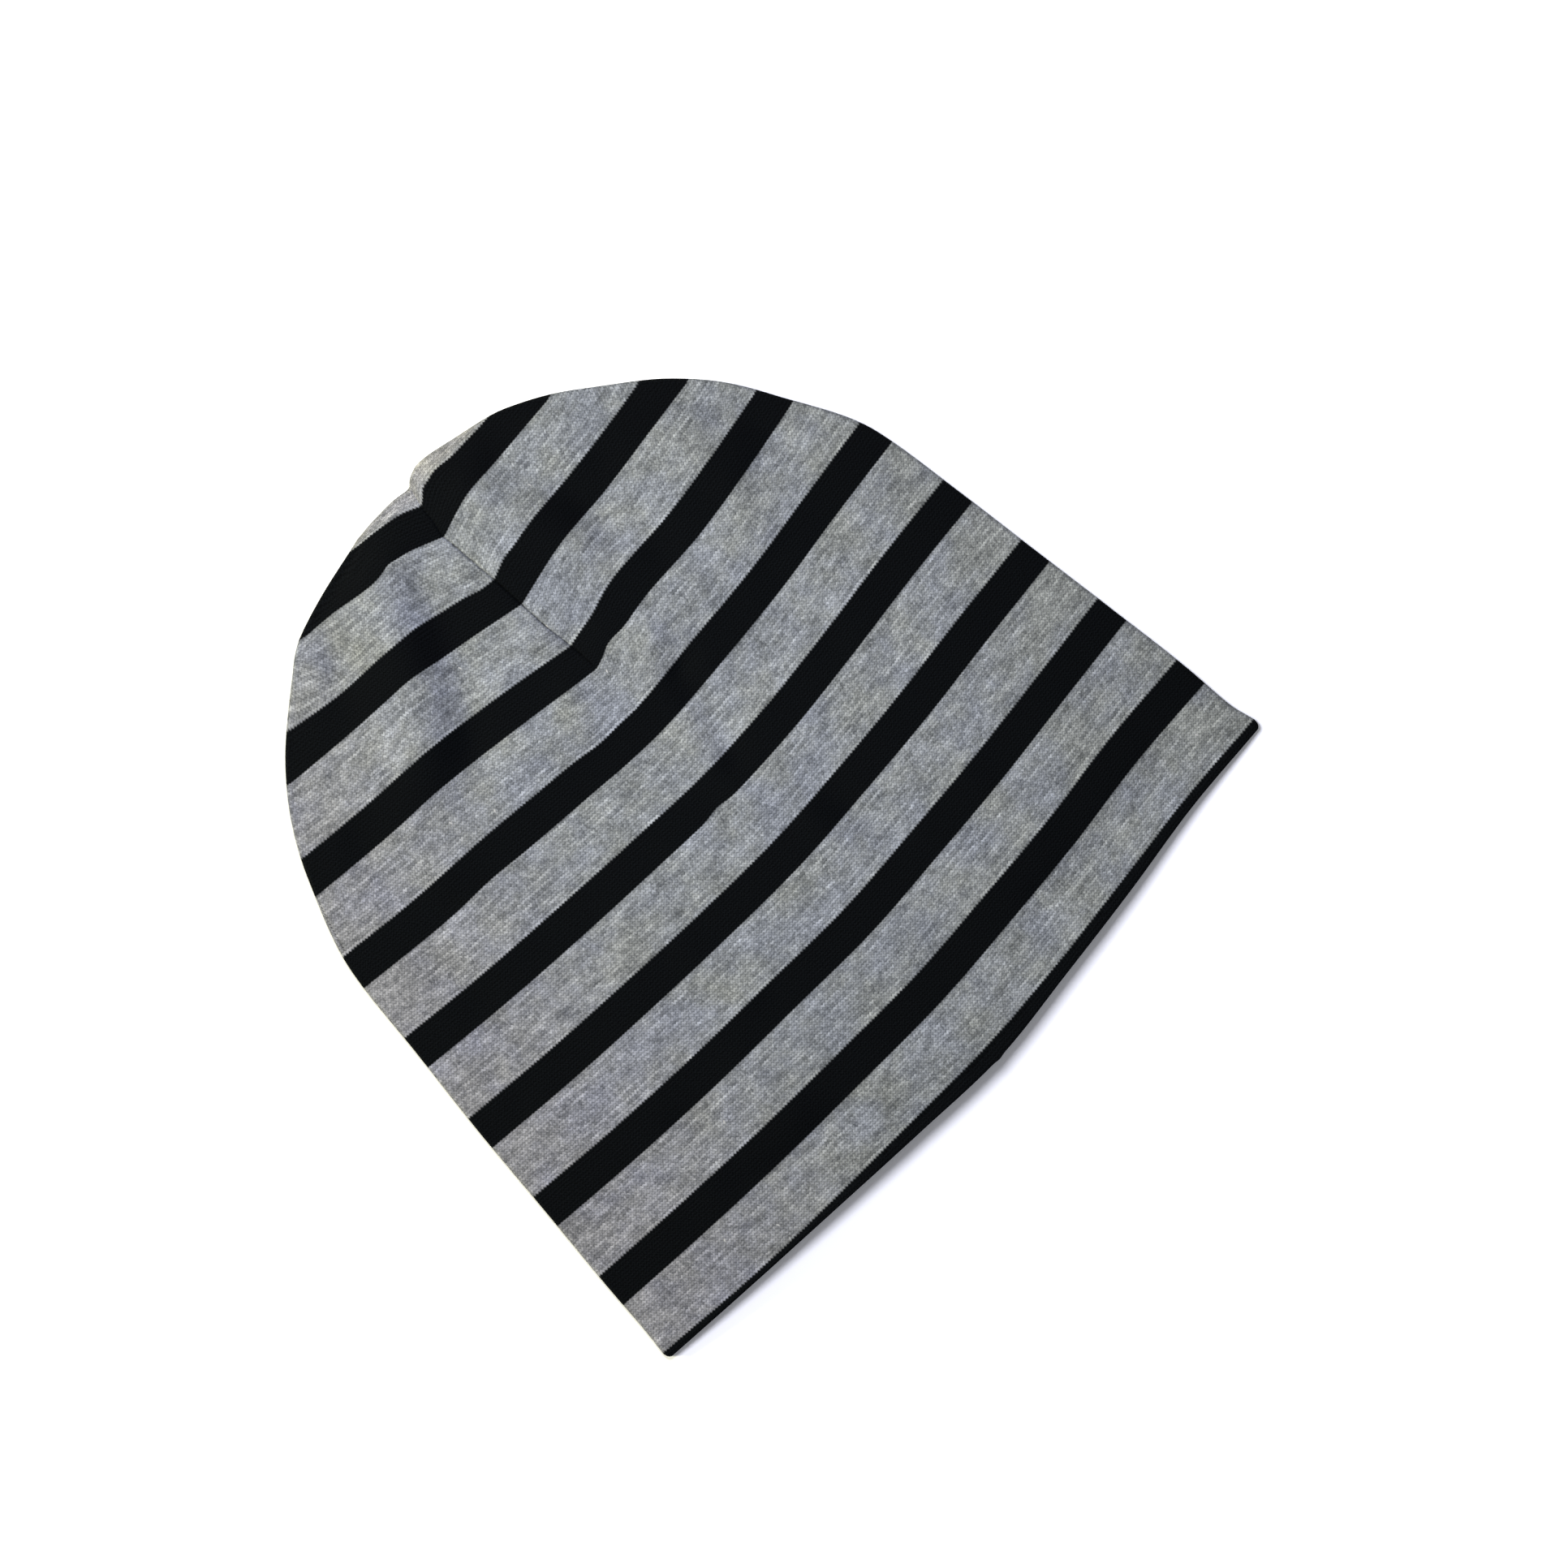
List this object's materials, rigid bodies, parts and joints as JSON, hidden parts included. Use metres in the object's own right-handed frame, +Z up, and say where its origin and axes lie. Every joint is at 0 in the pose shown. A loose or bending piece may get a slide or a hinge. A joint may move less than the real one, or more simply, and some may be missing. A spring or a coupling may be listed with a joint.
{
  "type": "slouch beanie",
  "caption": "Slouch beanie of double striped jersey, lying flat: a front and a back wall with a darted crown, open at the mouth, and a black turned hem round it.",
  "frame": {"origin": "on the surface that the hat lies on, in the middle of its box", "axes": "+Z up, +Y from the hem towards the top of the crown, +X to the right seen from above with the crown away"},
  "size_m": [0.25, 0.2392, 0.0143],
  "materials": {
    "striped_jersey": "heathered grey jersey with knitted-in black stripes, matt",
    "black_jersey": "black jersey, matt"
  },
  "bodies": {
    "root": {"front_panel": "striped_jersey", "back_panel": "striped_jersey", "hem_band": "black_jersey"}
  },
  "joints": []
}
